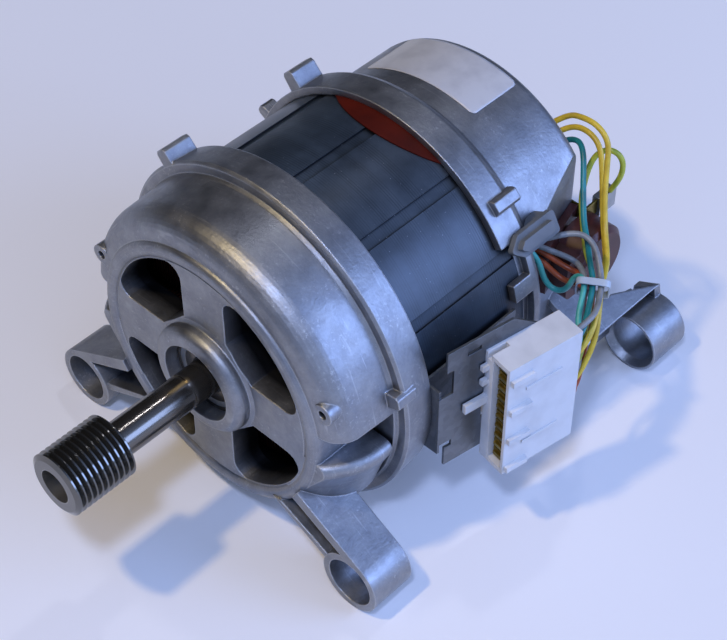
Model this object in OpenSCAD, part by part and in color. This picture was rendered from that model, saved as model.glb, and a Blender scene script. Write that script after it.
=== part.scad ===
// Washing machine motor: a commutator motor between two die-cast covers.
// The shaft lies along Y with the belt pulley at the front. Z is up, sizes are in millimetres.
// The origin is on the shaft's axis, in the outer face of the pulley.

/* [Pulley] */
// Length of the pulley along the shaft
pulley_len = 26; // [25.8:0.1:32]
// Radius over the tips of the belt ribs
pulley_r = 12.25; // [11:0.25:16]
// Number of rib tips
rib_count = 11; // [6:1:11]
// Distance from one rib tip to the next
rib_pitch = 2.34; // [2:0.02:2.34]
// Depth of the grooves between the tips
groove_depth = 1.8; // [1:0.1:2.4]
// Radius of the open recess in the outer face
recess_r = 6.6; // [6:0.1:7.2]
// Depth of that recess
recess_depth = 9; // [5:0.5:12]

/* [Shaft and bearings] */
// Radius of the free shaft between pulley and front cover
shaft_r = 6.8; // [6:0.1:7.3]
// Radius of the stub that carries the pulley
stub_r = 5; // [4:0.1:5.1]
// Free shaft between pulley and hub
shaft_gap = 37.5; // [30:0.5:45]
// Outer radius of the front bearing
front_bearing_r = 17.5; // [17:0.1:19]
// Radius of the front bearing's bore
front_journal_r = 7.5; // [7.4:0.1:8]
// Width of the front bearing
front_bearing_w = 11; // [10:0.5:12]
// Outer radius of the rear bearing
rear_bearing_r = 16; // [15.5:0.1:17]
// Radius of the rear bearing's bore
rear_journal_r = 6; // [5.5:0.1:6.4]
// Width of the rear bearing
rear_bearing_w = 10; // [9:0.5:11]
// Radius of a bearing ball
ball_r = 2.95; // [2.6:0.05:3]
// Number of balls in a bearing
ball_count = 8; // [6:1:8]
// Clearance between a ball and its tracks
ball_gap = 0.06; // [0.04:0.01:0.2]

/* [Laminations] */
// Outer radius of the stator stack
stator_r = 63.5; // [62:0.1:64.5]
// Length of stator that shows between the covers
stator_open = 48.5; // [40:0.5:60]
// Depth that the stator enters each cover
seat_depth = 6.5; // [4:0.5:7]
// Radial depth of the stator from its bore to its outside
stator_depth = 33.4; // [33:0.1:34]
// Clearance between a cover's seat and the stator
seat_gap = 0.1; // [0.05:0.01:0.3]
// Air gap between rotor and poles
air_gap = 0.6; // [0.4:0.1:1]
// Number of slots in the rotor
slot_count = 24; // [16:2:24]
// Number of weld grooves along the stator
weld_groove_count = 12; // [6:6:12]
// Width of a weld groove
weld_groove_w = 5; // [3:0.5:6]
// Depth of a weld groove
weld_groove_depth = 0.8; // [0.4:0.1:1.2]

/* [Front cover] */
// Width of the lip round the four windows
lip_w = 6.7; // [6:0.1:8]
// Width of a spoke
spoke_w = 20.6; // [16:0.2:24]
// Depth of the spokes
spoke_depth = 12; // [9:0.5:13]
// Outer radius of the hub's lip
hub_r = 22; // [20.5:0.1:23]
// Radius of the opening in front of the bearing
hub_opening_r = 15.6; // [14:0.1:16]
// Distance from the hub's lip back to the window rim
rim_setback = 6.2; // [5:0.1:7]
// How far the lower drum lies inside the stator's outside
drum_step = 9.5; // [8.5:0.1:11]
// Distance from the window rim to the flange
dome_depth = 26.3; // [25:0.1:32]
// How far the dome's end stands outside the stator
dome_step = 1.2; // [0.8:0.1:2]
// Radius of the dome's rounded shoulder
shoulder_r = 10; // [6:0.5:11]
// How far the front flange stands outside the stator
front_flange_t = 6.1; // [5.5:0.1:7.5]
// Length of the front flange
front_flange_len = 14.5; // [13:0.5:18]
// Wall of the castings
wall = 3.5; // [3:0.1:4]

/* [Rear cover] */
// How far the rear flange stands outside the stator
rear_flange_t = 3.25; // [3:0.05:4.5]
// Length of the rear flange
rear_flange_len = 15.5; // [14:0.5:18]
// How far the rear drum lies inside the stator's outside
rear_step = 3.3; // [2.5:0.1:4]
// Length of the rear cover without its hub
rear_cover_len = 55.6; // [54:0.1:60]
// Outer radius of the rear hub
rear_hub_r = 21; // [20:0.1:22]
// Length of the rear hub behind the back wall
rear_hub_len = 21.4; // [21:0.1:24]

/* [Feet] */
// Distance between the two feet of a cover
foot_spacing = 141.8; // [136:0.1:146]
// Height of the shaft above the middle of the foot bores
foot_drop = 53.4; // [52:0.1:56]
// Radius of a foot bore
foot_bore_r = 9.9; // [8:0.1:10.5]
// Outer radius of a foot
foot_r = 12.7; // [12:0.1:13.5]
// Length of a front foot bore
front_foot_len = 18.5; // [16:0.5:20]
// Length of a rear foot bore
rear_foot_len = 19.5; // [18:0.5:21]
// Distance from the rear cover's back wall to the end of its feet
rear_foot_reach = 31.9; // [28:0.1:34]

/* [Screws] */
// Radius of a long clamp screw
screw_r = 2; // [1.6:0.1:2.2]
// Distance of the clamp screws from the stator's outside
screw_inset = 7; // [6.5:0.1:7.5]
// Radius of the screw holes in the two front bosses
boss_hole_r = 1.75; // [1.2:0.05:2.2]
// Depth of those holes
boss_hole_depth = 10; // [6:0.5:12]

/* [Brush gear] */
// Radius of the commutator
commutator_r = 16.5; // [15:0.1:17]
// Length of the commutator
commutator_len = 19; // [17:0.5:20]
// Number of commutator bars
bar_count = 24; // [12:4:24]
// Width of a carbon brush round the commutator
brush_t = 6; // [5:0.5:7]
// Width of a carbon brush along the shaft
brush_w = 12; // [10:0.5:13]
// Length of a carbon brush
brush_len = 33; // [28:0.5:34]
// Clearance between a brush and the commutator
brush_gap = 0.3; // [0.2:0.05:0.5]
// Clearance between a brush and its brass guide
guide_gap = 0.1; // [0.05:0.01:0.2]
// Number of turns in a brush spring
spring_turns = 7; // [4:1:8]

/* [Connector] */
// Number of contacts
pole_count = 10; // [6:1:10]
// Distance from one contact to the next
pole_pitch = 5; // [4:0.1:5]
// Thickness of the connector across its row of contacts
connector_t = 12.8; // [12:0.1:14]
// Depth of the connector along the plug's way
connector_len = 32.3; // [30:0.1:36]
// Turn of the connector away from the shaft's direction
connector_yaw = 10.3; // [8:0.1:12]
// Thickness of the bracket's sheet
sheet_t = 1; // [0.8:0.1:1.2]

/* [Hidden] */
$fn = 96;
far = 300;

// Radii that follow the stator
stator_bore_r = stator_r - stator_depth;
drum_r = stator_r - drum_step;
window_r = drum_r - lip_w;
dome_r = stator_r + dome_step;
front_flange_r = stator_r + front_flange_t;
rear_flange_r = stator_r + rear_flange_t;
rear_drum_r = stator_r - rear_step;
screw_circle_r = stator_r - screw_inset;

// Stations along the shaft, from the pulley's outer face
y_hub = pulley_len + shaft_gap;
y_rim = y_hub + rim_setback;
y_plate = y_rim + 0.3;
y_inside = y_plate + spoke_depth;
y_flange = y_rim + dome_depth;
y_joint = y_flange + front_flange_len;
y_rear = y_joint + stator_open;
y_step = y_rear + rear_flange_len;
y_back = y_rear + rear_cover_len;
y_rear_hub = y_back + rear_hub_len;
y_foot_end = y_back + rear_foot_reach;
y_core = y_joint - seat_depth;
y_core_end = y_rear + seat_depth;
y_front_bearing = y_hub + 6;
y_rear_bearing = y_rear_hub - 4.5 - rear_bearing_w;
y_commutator_end = y_back - 4.6;
y_commutator = y_commutator_end - commutator_len;
y_brush = (y_commutator + y_commutator_end) / 2;
y_foot = y_hub + 3.5;
floor_z = -foot_drop - foot_r;

// Clamp screws and cast lugs as angles round the shaft, and the boss and shelf at the dome's lower end
screw_angles = [40, 140, 220, 320];
screw_boss_r = 5;
screw_boss_len = 4.5;
head_r = 3.5;
lug_angles = [131.5, 195];
low_lug_angle = 13.5;
lug_w = 6.5;
lug_rise = 5.4;
boss_x = drum_r + 1.2;
boss_z = 20.5;
y_boss = y_rim + 1.3;
ledge_z = -6;
boss_r = 4.1;
shelf_z = 8;
arm_slope = 29;

// Flat sides of the rear drum, which lean in towards the back
flat_lean = 15.7;
flat_x = rear_drum_r - 8.2;
flat_y = y_rear + 30;

function unit(v) = v / norm(v);

function arc(c, r, a0, a1, n = 8) =
    [for (i = [0:n]) c + r * [cos(a0 + (a1 - a0) * i / n), sin(a0 + (a1 - a0) * i / n)]];

// Points of a corner rounded to radius r, from the line a-b to the line b-c
function corner(a, b, c, r, n) =
    let (u = unit(a - b), v = unit(c - b), half = acos(u * v) / 2)
    let (centre = b + unit(u + v) * r / sin(half))
    let (s = b + u * r / tan(half) - centre, e = b + v * r / tan(half) - centre)
    let (a0 = atan2(s[1], s[0]), turn = (atan2(e[1], e[0]) - a0 + 540) % 360 - 180)
    arc(centre, r, a0, a0 + turn, n);

function rounded(p, r, n = 5) = let (m = len(p))
    [for (i = [0:m - 1]) each corner(p[(i + m - 1) % m], p[i], p[(i + 1) % m], r, n)];

// Tangent and side vectors along a path, carried from point to point without twist
function tangents(p) = let (m = len(p) - 1)
    [for (i = [0:m]) unit(p[min(i + 1, m)] - p[max(i - 1, 0)])];
function sides(t, i = 0, n = undef) = i == len(t) ? [] :
    let (start = abs(t[0][0]) < 0.8 ? [1, 0, 0] : [0, 0, 1])
    let (raw = is_undef(n) ? start : n, side = unit(raw - (raw * t[i]) * t[i]))
    concat([side], sides(t, i + 1, side));

// A closed tube of radius r along the points p
module tube_along(p, r, fn = 8) {
    t = tangents(p);
    s = sides(t);
    m = len(p);
    rings = [for (i = [0:m - 1]) let (b = cross(t[i], s[i]))
        for (k = [0:fn - 1]) p[i] + r * (cos(360 * k / fn) * s[i] + sin(360 * k / fn) * b)];
    skin = [for (i = [0:m - 2], k = [0:fn - 1]) let (a = i * fn + k, b = i * fn + (k + 1) % fn)
        each [[a, a + fn, b], [b, a + fn, b + fn]]];
    first = [for (k = [1:fn - 2]) [0, k, k + 1]];
    last = [for (k = [1:fn - 2]) let (o = (m - 1) * fn) [o, o + k + 1, o + k]];
    polyhedron(rings, concat(skin, first, last));
}

// Solids about the shaft: a profile of [radius, y] turned about Y, and an outline of [x, z] drawn along Y
module turned(points) rotate([-90, 0, 0]) rotate_extrude() polygon(points);
module disc(r, y0, y1) translate([0, y0, 0]) rotate([-90, 0, 0]) cylinder(r = r, h = y1 - y0);
module ring(r_out, r_in, y0, y1) difference() {
    disc(r_out, y0, y1);
    disc(r_in, y0 - 1, y1 + 1);
}
module along(y0, y1) translate([0, y1, 0]) rotate([90, 0, 0]) linear_extrude(y1 - y0) children();
module post(x, z, r, y0, y1) translate([x, 0, z]) disc(r, y0, y1);
module both_sides() {
    children();
    mirror([1, 0, 0]) children();
}
module above(z) translate([-far, -far, z]) cube([2 * far, 2 * far, far]);

// One window between two spokes, with round outer corners and a slanted inner one
module window_outline(r_out, half_spoke, r_in, fillet) {
    corner_x = sqrt(pow(r_out - fillet, 2) - pow(half_spoke + fillet, 2));
    turn = atan2(half_spoke + fillet, corner_x);
    inner = sqrt(pow(r_in, 2) - pow(half_spoke, 2));
    polygon(concat([[inner, half_spoke]],
        arc([corner_x, half_spoke + fillet], fillet, -90, turn, 6),
        arc([0, 0], r_out, turn, 90 - turn, 12),
        arc([half_spoke + fillet, corner_x], fillet, 90 - turn, 180, 6),
        [[half_spoke, inner]]));
}
module windows(r_out, half_spoke, r_in, fillet, y0, y1)
    for (turn = [0:90:270]) along(y0, y1) rotate(turn) window_outline(r_out, half_spoke, r_in, fillet);

// Rotor

module pulley() color("silver") difference() {
    margin = (pulley_len - rib_count * rib_pitch) / 2;
    tip = rib_pitch * 0.13;
    middles = [for (i = [0:rib_count - 1]) margin + (i + 0.5) * rib_pitch];
    grooves = [for (i = [0:rib_count - 1]) each concat([[pulley_r, middles[i] - tip], [pulley_r, middles[i] + tip]],
        i == rib_count - 1 ? [] : [[pulley_r - groove_depth, middles[i] + rib_pitch / 2]])];
    turned(concat([[0, 0], [pulley_r - groove_depth, 0]], grooves, [[pulley_r - groove_depth, pulley_len], [0, pulley_len]]));
    disc(stub_r, -1, pulley_len + 1);
    disc(recess_r, -1, recess_depth);
}

module shaft() color("gainsboro") {
    lead = 0.6;
    groove_y = y_hub - 6;
    collar_y = y_front_bearing + front_bearing_w;
    rear_y = y_rear_bearing;
    tail_r = 4;
    turned([[0, recess_depth], [stub_r, recess_depth], [stub_r, pulley_len], [shaft_r, pulley_len],
        [shaft_r, groove_y], [shaft_r - 0.4, groove_y], [shaft_r - 0.4, groove_y + 1], [shaft_r, groove_y + 1],
        [shaft_r, y_front_bearing - lead], [front_journal_r, y_front_bearing], [front_journal_r, collar_y],
        [front_journal_r + 2, collar_y], [front_journal_r + 2, collar_y + 3], [core_seat_r, collar_y + 4],
        [core_seat_r, y_commutator_end + 1], [rear_journal_r + 1.5, y_commutator_end + 1],
        [rear_journal_r + 1.5, rear_y], [rear_journal_r, rear_y], [rear_journal_r, rear_y + rear_bearing_w],
        [tail_r, rear_y + rear_bearing_w + lead], [tail_r, y_foot_end - 2], [0, y_foot_end - 2]]);
}
core_seat_r = 8.5;
rotor_r = stator_bore_r - air_gap;
y_armature = y_core + 2;
y_armature_end = y_core_end - 2;

// Rotor lamination: round slots that open to the air gap through a narrow mouth
slot_depth = 12;
slot_w = 3.6;
module slot_outline(reach) {
    middle_r = rotor_r - slot_depth + slot_w / 2;
    translate([middle_r, 0]) circle(d = slot_w, $fn = 24);
    translate([middle_r, -slot_w / 2]) square([slot_depth - slot_w / 2 - 2, slot_w]);
    translate([middle_r, -1]) square([reach, 2]);
}
module armature_core() color("dimgray") along(y_armature, y_armature_end) difference() {
    circle(r = rotor_r);
    circle(r = core_seat_r);
    for (i = [0:slot_count - 1]) rotate(360 * i / slot_count) slot_outline(slot_depth + 2);
}

module armature_winding() color("peru") {
    overhang = 16;
    low_r = rotor_r - slot_depth + 0.4;
    high_r = rotor_r - 2.6;
    bulge = 5;
    for (side = [0, 1]) translate([0, side ? y_armature_end : y_armature, 0]) mirror([0, 1 - side, 0])
        turned(concat([[low_r, 0]], [[low_r, overhang]],
            arc([high_r - bulge, overhang - bulge], bulge, 90, 0, 6), [[high_r, 0]]));
    for (i = [0:slot_count - 1]) rotate([0, 360 * i / slot_count, 0])
        translate([low_r + 0.6, y_armature, -slot_w / 2 + 0.3])
            cube([high_r - low_r - 1.4, y_armature_end - y_armature, slot_w - 0.6]);
}

commutator_core_r = commutator_r - 4;
module commutator_hub() color("saddlebrown") ring(commutator_core_r, core_seat_r, y_commutator - 1, y_commutator_end);
module commutator_bars() color("chocolate") {
    slit = 0.7;
    riser = 3;
    difference() {
        union() {
            ring(commutator_r, commutator_core_r, y_commutator, y_commutator_end);
            ring(commutator_r + 2, commutator_core_r, y_commutator, y_commutator + riser);
        }
        for (i = [0:bar_count - 1]) rotate([0, 360 * (i + 0.5) / bar_count, 0])
            translate([0, y_commutator - 1, -slit / 2]) cube([far, commutator_len + 2, slit]);
    }
}

magnet_r = 9;
y_magnet = y_rear_hub + 1;
module tacho_magnet() color("darkslategray") ring(magnet_r, 4, y_magnet, y_magnet + 5.5);

// Ball bearings: rings with round tracks, a caged row of balls and a shield on each side

module track(pitch_r, y) translate([0, y, 0]) rotate([-90, 0, 0]) rotate_extrude()
    translate([pitch_r, 0]) circle(r = ball_r + ball_gap);
land = 1.25;
cage_half = 0.7;
module bearing_inner(r_in, r_out, y0, w) color("lightgray") difference() {
    ring((r_in + r_out) / 2 - land, r_in, y0, y0 + w);
    track((r_in + r_out) / 2, y0 + w / 2);
}
module bearing_outer(r_in, r_out, y0, w) color("lightgray") difference() {
    ring(r_out, (r_in + r_out) / 2 + land, y0, y0 + w);
    track((r_in + r_out) / 2, y0 + w / 2);
}
module balls_at(pitch_r, y, r) for (i = [0:ball_count - 1]) rotate([0, 360 * i / ball_count, 0])
    translate([pitch_r, y, 0]) sphere(r = r, $fn = 48);
module bearing_balls(r_in, r_out, y0, w) color("white") balls_at((r_in + r_out) / 2, y0 + w / 2, ball_r);
module bearing_cage(r_in, r_out, y0, w) color("goldenrod") difference() {
    pitch_r = (r_in + r_out) / 2;
    half_w = ball_r + 0.8;
    ring(pitch_r + cage_half, pitch_r - cage_half, y0 + w / 2 - half_w, y0 + w / 2 + half_w);
    for (i = [0:ball_count - 1]) rotate([0, 360 * i / ball_count, 0]) translate([0, y0 + w / 2, 0])
        rotate([0, 90, 0]) cylinder(r = ball_r + ball_gap, h = r_out);
}
module bearing_shields(r_in, r_out, y0, w) color("gray") {
    shield_t = 0.5;
    outside = (r_in + r_out) / 2 + land;
    for (y = [y0, y0 + w - shield_t]) ring(outside, (r_in + r_out) / 2 - land + 0.3, y, y + shield_t);
}
module front_bearing_inner() bearing_inner(front_journal_r, front_bearing_r, y_front_bearing, front_bearing_w);
module front_bearing_outer() bearing_outer(front_journal_r, front_bearing_r, y_front_bearing, front_bearing_w);
module front_bearing_balls() bearing_balls(front_journal_r, front_bearing_r, y_front_bearing, front_bearing_w);
module front_bearing_cage() bearing_cage(front_journal_r, front_bearing_r, y_front_bearing, front_bearing_w);
module front_bearing_shields() bearing_shields(front_journal_r, front_bearing_r, y_front_bearing, front_bearing_w);
module rear_bearing_inner() bearing_inner(rear_journal_r, rear_bearing_r, y_rear_bearing, rear_bearing_w);
module rear_bearing_outer() bearing_outer(rear_journal_r, rear_bearing_r, y_rear_bearing, rear_bearing_w);
module rear_bearing_balls() bearing_balls(rear_journal_r, rear_bearing_r, y_rear_bearing, rear_bearing_w);
module rear_bearing_cage() bearing_cage(rear_journal_r, rear_bearing_r, y_rear_bearing, rear_bearing_w);
module rear_bearing_shields() bearing_shields(rear_journal_r, rear_bearing_r, y_rear_bearing, rear_bearing_w);

// Stator: a two-pole lamination with its poles above and below the rotor

yoke_w = 12;
pole_w = 46;
shoe_r = stator_bore_r + 6;
shoe_half_angle = 62;
module sector(half_angle, r) polygon([[0, 0], r * [sin(half_angle), cos(half_angle)],
    [r * sin(half_angle), 2 * r], [-r * sin(half_angle), 2 * r], r * [-sin(half_angle), cos(half_angle)]]);
module coil_room() difference() {
    circle(r = stator_r - yoke_w);
    square([pole_w, far], center = true);
    intersection() {
        circle(r = shoe_r);
        for (turn = [0, 180]) rotate(turn) sector(shoe_half_angle, far);
    }
}
module stator_core() color("darkslategray") along(y_core, y_core_end) difference() {
    circle(r = stator_r);
    circle(r = stator_bore_r);
    coil_room();
    for (i = [0:weld_groove_count - 1]) rotate(360 * i / weld_groove_count - 2)
        translate([stator_r, 0]) square([2 * weld_groove_depth, weld_groove_w], center = true);
    for (turn = screw_angles) rotate(turn) translate([screw_circle_r, 0]) circle(r = screw_r + 0.2, $fn = 32);
}

// A field coil: two straight legs in the stator's slots, joined by curved ends over the pole
coil_gap = 0.5;
coil_overhang = 15;
module coil_section() intersection() {
    difference() {
        circle(r = min(stator_r - yoke_w, drum_r - wall) - coil_gap);
        circle(r = shoe_r + coil_gap);
    }
    translate([-far, 4]) square([2 * far, far]);
}
module field_coil() color("sienna") difference() {
    along(y_core - coil_overhang, y_core_end + coil_overhang) coil_section();
    along(y_core - 2, y_core_end + 2) translate([-pole_w / 2 - coil_gap, -far])
        square([pole_w + 2 * coil_gap, 2 * far]);
}
module field_coil_top() field_coil();
module field_coil_bottom() mirror([0, 0, 1]) field_coil();

// Red insulating sheet, tucked under the rear cover, with a bowed front edge
film_t = 0.4;
film_gap = 0.05;
film_from = 64;
film_to = 112;
film_bow = 9;
module insulation_film() color("orangered") intersection() {
    ring(stator_r + film_gap + film_t, stator_r + film_gap, y_rear - film_bow - 1, y_core_end);
    along(y_rear - film_bow - 1, y_core_end) polygon(concat([[0, 0]], arc([0, 0], 2 * stator_r, film_from, film_to)));
    film_bow_r = 40;
    rotate([0, 90 - (film_from + film_to) / 2, 0]) translate([0, y_rear - film_bow + film_bow_r, 0])
        cylinder(r = film_bow_r, h = far);
}

// Front cover

lip_top = 1.1;
dome_inner_r = dome_r - wall;
module dome() intersection() {
    turned(concat([[0, y_rim + 1], [dome_r - 0.7 - shoulder_r, y_rim + 1]],
        arc([dome_r - 0.7 - shoulder_r, y_rim + 1 + shoulder_r], shoulder_r, -90, 0, 10),
        [[dome_r, y_flange], [dome_r, y_flange + wall], [0, y_flange + wall]]));
    above(shelf_z);
}
module drum() turned(concat([[0, y_plate], [window_r, y_rim]],
    arc([window_r + lip_w / 2, y_rim + lip_w / 2 - lip_top], lip_w / 2, -150, 0, 8),
    [[drum_r, y_flange + wall], [0, y_flange + wall]]));
module front_flange() turned([[drum_r - wall, y_flange], [dome_r, y_flange], [dome_r + 0.6, y_flange + 1.5],
    [front_flange_r - 1, y_flange + 1.5], [front_flange_r, y_flange + 2.5], [front_flange_r - 0.8, y_joint],
    [drum_r - wall, y_joint]]);
module hub() {
    edge = 4;
    turned(concat([[0, y_hub]], arc([hub_r - edge, y_hub + edge], edge, -90, 0, 6),
        [[hub_r, y_plate - 1], [hub_r + 3, y_plate + 1], [hub_r + 3, y_inside], [0, y_inside]]));
}

// Foot arm, as an outline of [x, z]: a sloping top plate and a lower rib that meet at the foot's tube
foot_x = foot_spacing / 2;
arm_t = 4;
tangent = [sin(arm_slope), cos(arm_slope)];
run = [cos(arm_slope), -sin(arm_slope)];
arm_tip = [foot_x, -foot_drop] + foot_r * tangent;
rib_tip = [foot_x - foot_r * 0.95, -foot_drop + 3.5];
rib_root = (drum_r - 1.5) * [cos(-47), sin(-47)];
web_root = (drum_r - 2) * [cos(-37), sin(-37)];

// Point of the line from a back along the arm that lies r from the shaft's axis
function arm_start(a, r) = let (along_run = a * run) a - (along_run - sqrt(along_run * along_run - a * a + r * r)) * run;
module arm_plate(r, outer, thickness) polygon([arm_start(outer, r), outer, outer - thickness * tangent,
    arm_start(outer, r) - (thickness + 1) * tangent]);
module arm_rib() polygon([rib_root, rib_tip + [3, 0], rib_tip + [3, -3.5], rib_root - 4 * unit(rib_root) + [-1, -3]]);
module arm_web() polygon([arm_start(arm_tip, drum_r - 2), arm_tip, rib_tip, rib_root, web_root]);
module front_foot() {
    end = y_foot + front_foot_len;
    post(foot_x, -foot_drop, foot_r, y_foot, end);
    along(y_foot, end) arm_plate(drum_r - 2, arm_tip, arm_t);
    along(y_foot + 1, end) arm_rib();
    along(end - wall, end) arm_web();
}

// Boat-shaped ledge beside the drum: a flat top with a straight inner side and a round outer side, on the arm's root
module ledge() intersection() {
    edge = 3;
    top_r = 27.4;
    translate([drum_r - 19, y_rim + 21.3, 0]) rotate_extrude() polygon(concat([[0, ledge_z]],
        arc([top_r, ledge_z - edge], edge, 90, 0, 6), [[top_r + edge - 0.3, -11], [top_r - 1.5, -20], [top_r - 6, -34], [0, -34]]));
    along(y_rim, y_flange - 1.2) polygon([[drum_r - 14, 0], [drum_r + 16, 0], [drum_r + 16, -32], [drum_r + 9, -36],
        [drum_r - 8, -34], [drum_r - 20, -26]]);
}
module cast_lug(turn, y0, y1, r, w, base = stator_r + 2) along(y0, y1) rotate(turn) polygon([[base, -w / 2],
    [r - 1.2, -w / 2 + 0.5], [r, -w / 2 + 1.5], [r, w / 2 - 1.5], [r - 1.2, w / 2 - 0.5], [base, w / 2]]);
module screw_bosses(y0, y1) for (turn = screw_angles) rotate([0, -turn, 0]) post(screw_circle_r, 0, screw_boss_r, y0, y1);
module screw_holes(y0, y1) for (turn = screw_angles) rotate([0, -turn, 0]) post(screw_circle_r, 0, screw_r + 0.1, y0, y1);

module front_shell() {
    dome();
    drum();
    front_flange();
    hub();
    both_sides() {
        front_foot();
        ledge();
        post(boss_x, boss_z, boss_r, y_boss, y_boss + 12);
    }
    for (turn = lug_angles) cast_lug(turn, y_flange + 1.6, y_joint - 1, front_flange_r + lug_rise, lug_w);
    cast_lug(low_lug_angle, y_flange - 2, y_flange + 7, front_flange_r + 0.8, lug_w, stator_r - 0.5);
}

// Room inside: behind the spokes, under the dome and inside the flange
module front_room() {
    disc(drum_r - wall, y_inside, y_joint + 1);
    intersection() {
        turned(concat([[0, y_inside], [dome_inner_r - 0.7 - shoulder_r, y_inside]],
            arc([dome_inner_r - 0.7 - shoulder_r, y_inside + shoulder_r], shoulder_r, -90, 0, 8),
            [[dome_inner_r - 1, y_flange + wall], [0, y_flange + wall]]));
        above(shelf_z + wall);
    }
    disc(stator_r - 3, y_flange + wall, y_joint + 1);
}

module front_cover() color("silver") difference() {
    union() {
        difference() {
            front_shell();
            front_room();
        }
        screw_bosses(y_flange + 0.2, y_core);
    }
    disc(stator_r + seat_gap, y_core, y_joint + 1);
    // Windows, bearing seat and the opening in front of it
    windows(window_r, spoke_w / 2, hub_r + 2.4, 5.5, y_hub, y_inside + 1);
    disc(hub_opening_r, y_hub - 1, y_inside + 1);
    disc(front_bearing_r, y_front_bearing, y_inside + 1);
    // Foot bores, boss holes, screw holes and the flat underside
    both_sides() {
        post(foot_x, -foot_drop, foot_bore_r, y_foot - 1, y_foot + front_foot_len + 1);
        post(boss_x, boss_z, boss_hole_r, y_boss - 1, y_boss + boss_hole_depth);
    }
    screw_holes(y_flange + 1, y_core + 1);
    translate([-far, y_flange - 1, floor_z + 1 - far]) cube([2 * far, far, far]);
}

// Rear cover

module flat_side(inset) both_sides() translate([flat_x - inset / cos(flat_lean), flat_y, -far]) rotate([0, 0, flat_lean])
    translate([0, y_step - flat_y - 1, 0]) cube([far, far, 2 * far]);
module rear_skin() {
    edge = 4;
    difference() {
        turned(concat([[0, y_step - 4], [rear_flange_r - 1, y_step - 4], [rear_drum_r + 1, y_step + 1.5], [rear_drum_r, y_step + 3]],
            arc([rear_drum_r - edge, y_back - edge], edge, 0, 90, 6), [[0, y_back]]));
        flat_side(0);
    }
    turned([[stator_r - 3, y_rear], [rear_flange_r, y_rear], [rear_flange_r, y_step - 4], [rear_flange_r - 1, y_step - 2],
        [stator_r - 3, y_step - 2]]);
}
module rear_room() difference() {
    turned([[0, y_rear - 1], [stator_r - 3, y_rear - 1], [stator_r - 3, y_step - 1.1], [rear_drum_r - wall, y_step + 1.5],
        [rear_drum_r - wall, y_back - wall], [0, y_back - wall]]);
    flat_side(wall);
}

// Rear foot: the same arm cut to a narrow gusset, with a wall at its end that carries the tube
rear_edge_x = foot_x - 1.9;
rear_plate_t = 2.4;
rear_edge = arm_tip + 1.7 * tangent + (rear_edge_x - arm_tip[0] - 1.7 * tangent[0]) / run[0] * run;
module rear_foot() {
    start = y_foot_end - rear_foot_len;
    plate_start = y_back - 14;
    post(foot_x, -foot_drop, foot_r, start, y_foot_end);
    intersection() {
        along(plate_start, y_foot_end) arm_plate(rear_drum_r - 10.5, rear_edge, rear_plate_t);
        translate([0, 0, -far]) linear_extrude(far) polygon([[30, plate_start], [rear_edge_x, plate_start],
            [rear_edge_x, y_foot_end], [rear_edge_x - 8, y_back + 10.5], [rear_edge_x - 9, y_back], [30, y_back]]);
    }
    intersection() {
        along(plate_start, y_foot_end) arm_rib();
        translate([0, 0, -far]) linear_extrude(far) polygon([[20, plate_start], [foot_x, plate_start], [foot_x, y_foot_end],
            [56, y_foot_end], [52, y_back + 10], [20, y_back]]);
    }
    along(y_foot_end - wall, y_foot_end) polygon([rear_edge, [foot_x, -foot_drop + 8], [foot_x, -foot_drop], rib_tip,
        rear_edge - 9 * tangent - 6 * run, rear_edge - rear_plate_t * tangent - 1.5 * run]);
    along(y_back - wall, y_back) intersection() {
        arm_web();
        translate([0, -far]) square([rear_edge_x - 9, 2 * far]);
    }
}
flange_gaps = [[-15, 13], [19, 32]];
lead_hole = [[y_step + 1.5, y_step + 14], [9, 28]];
holder_y = brush_w / 2 + 3;
holder_z = brush_t / 2 + 7;
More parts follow.
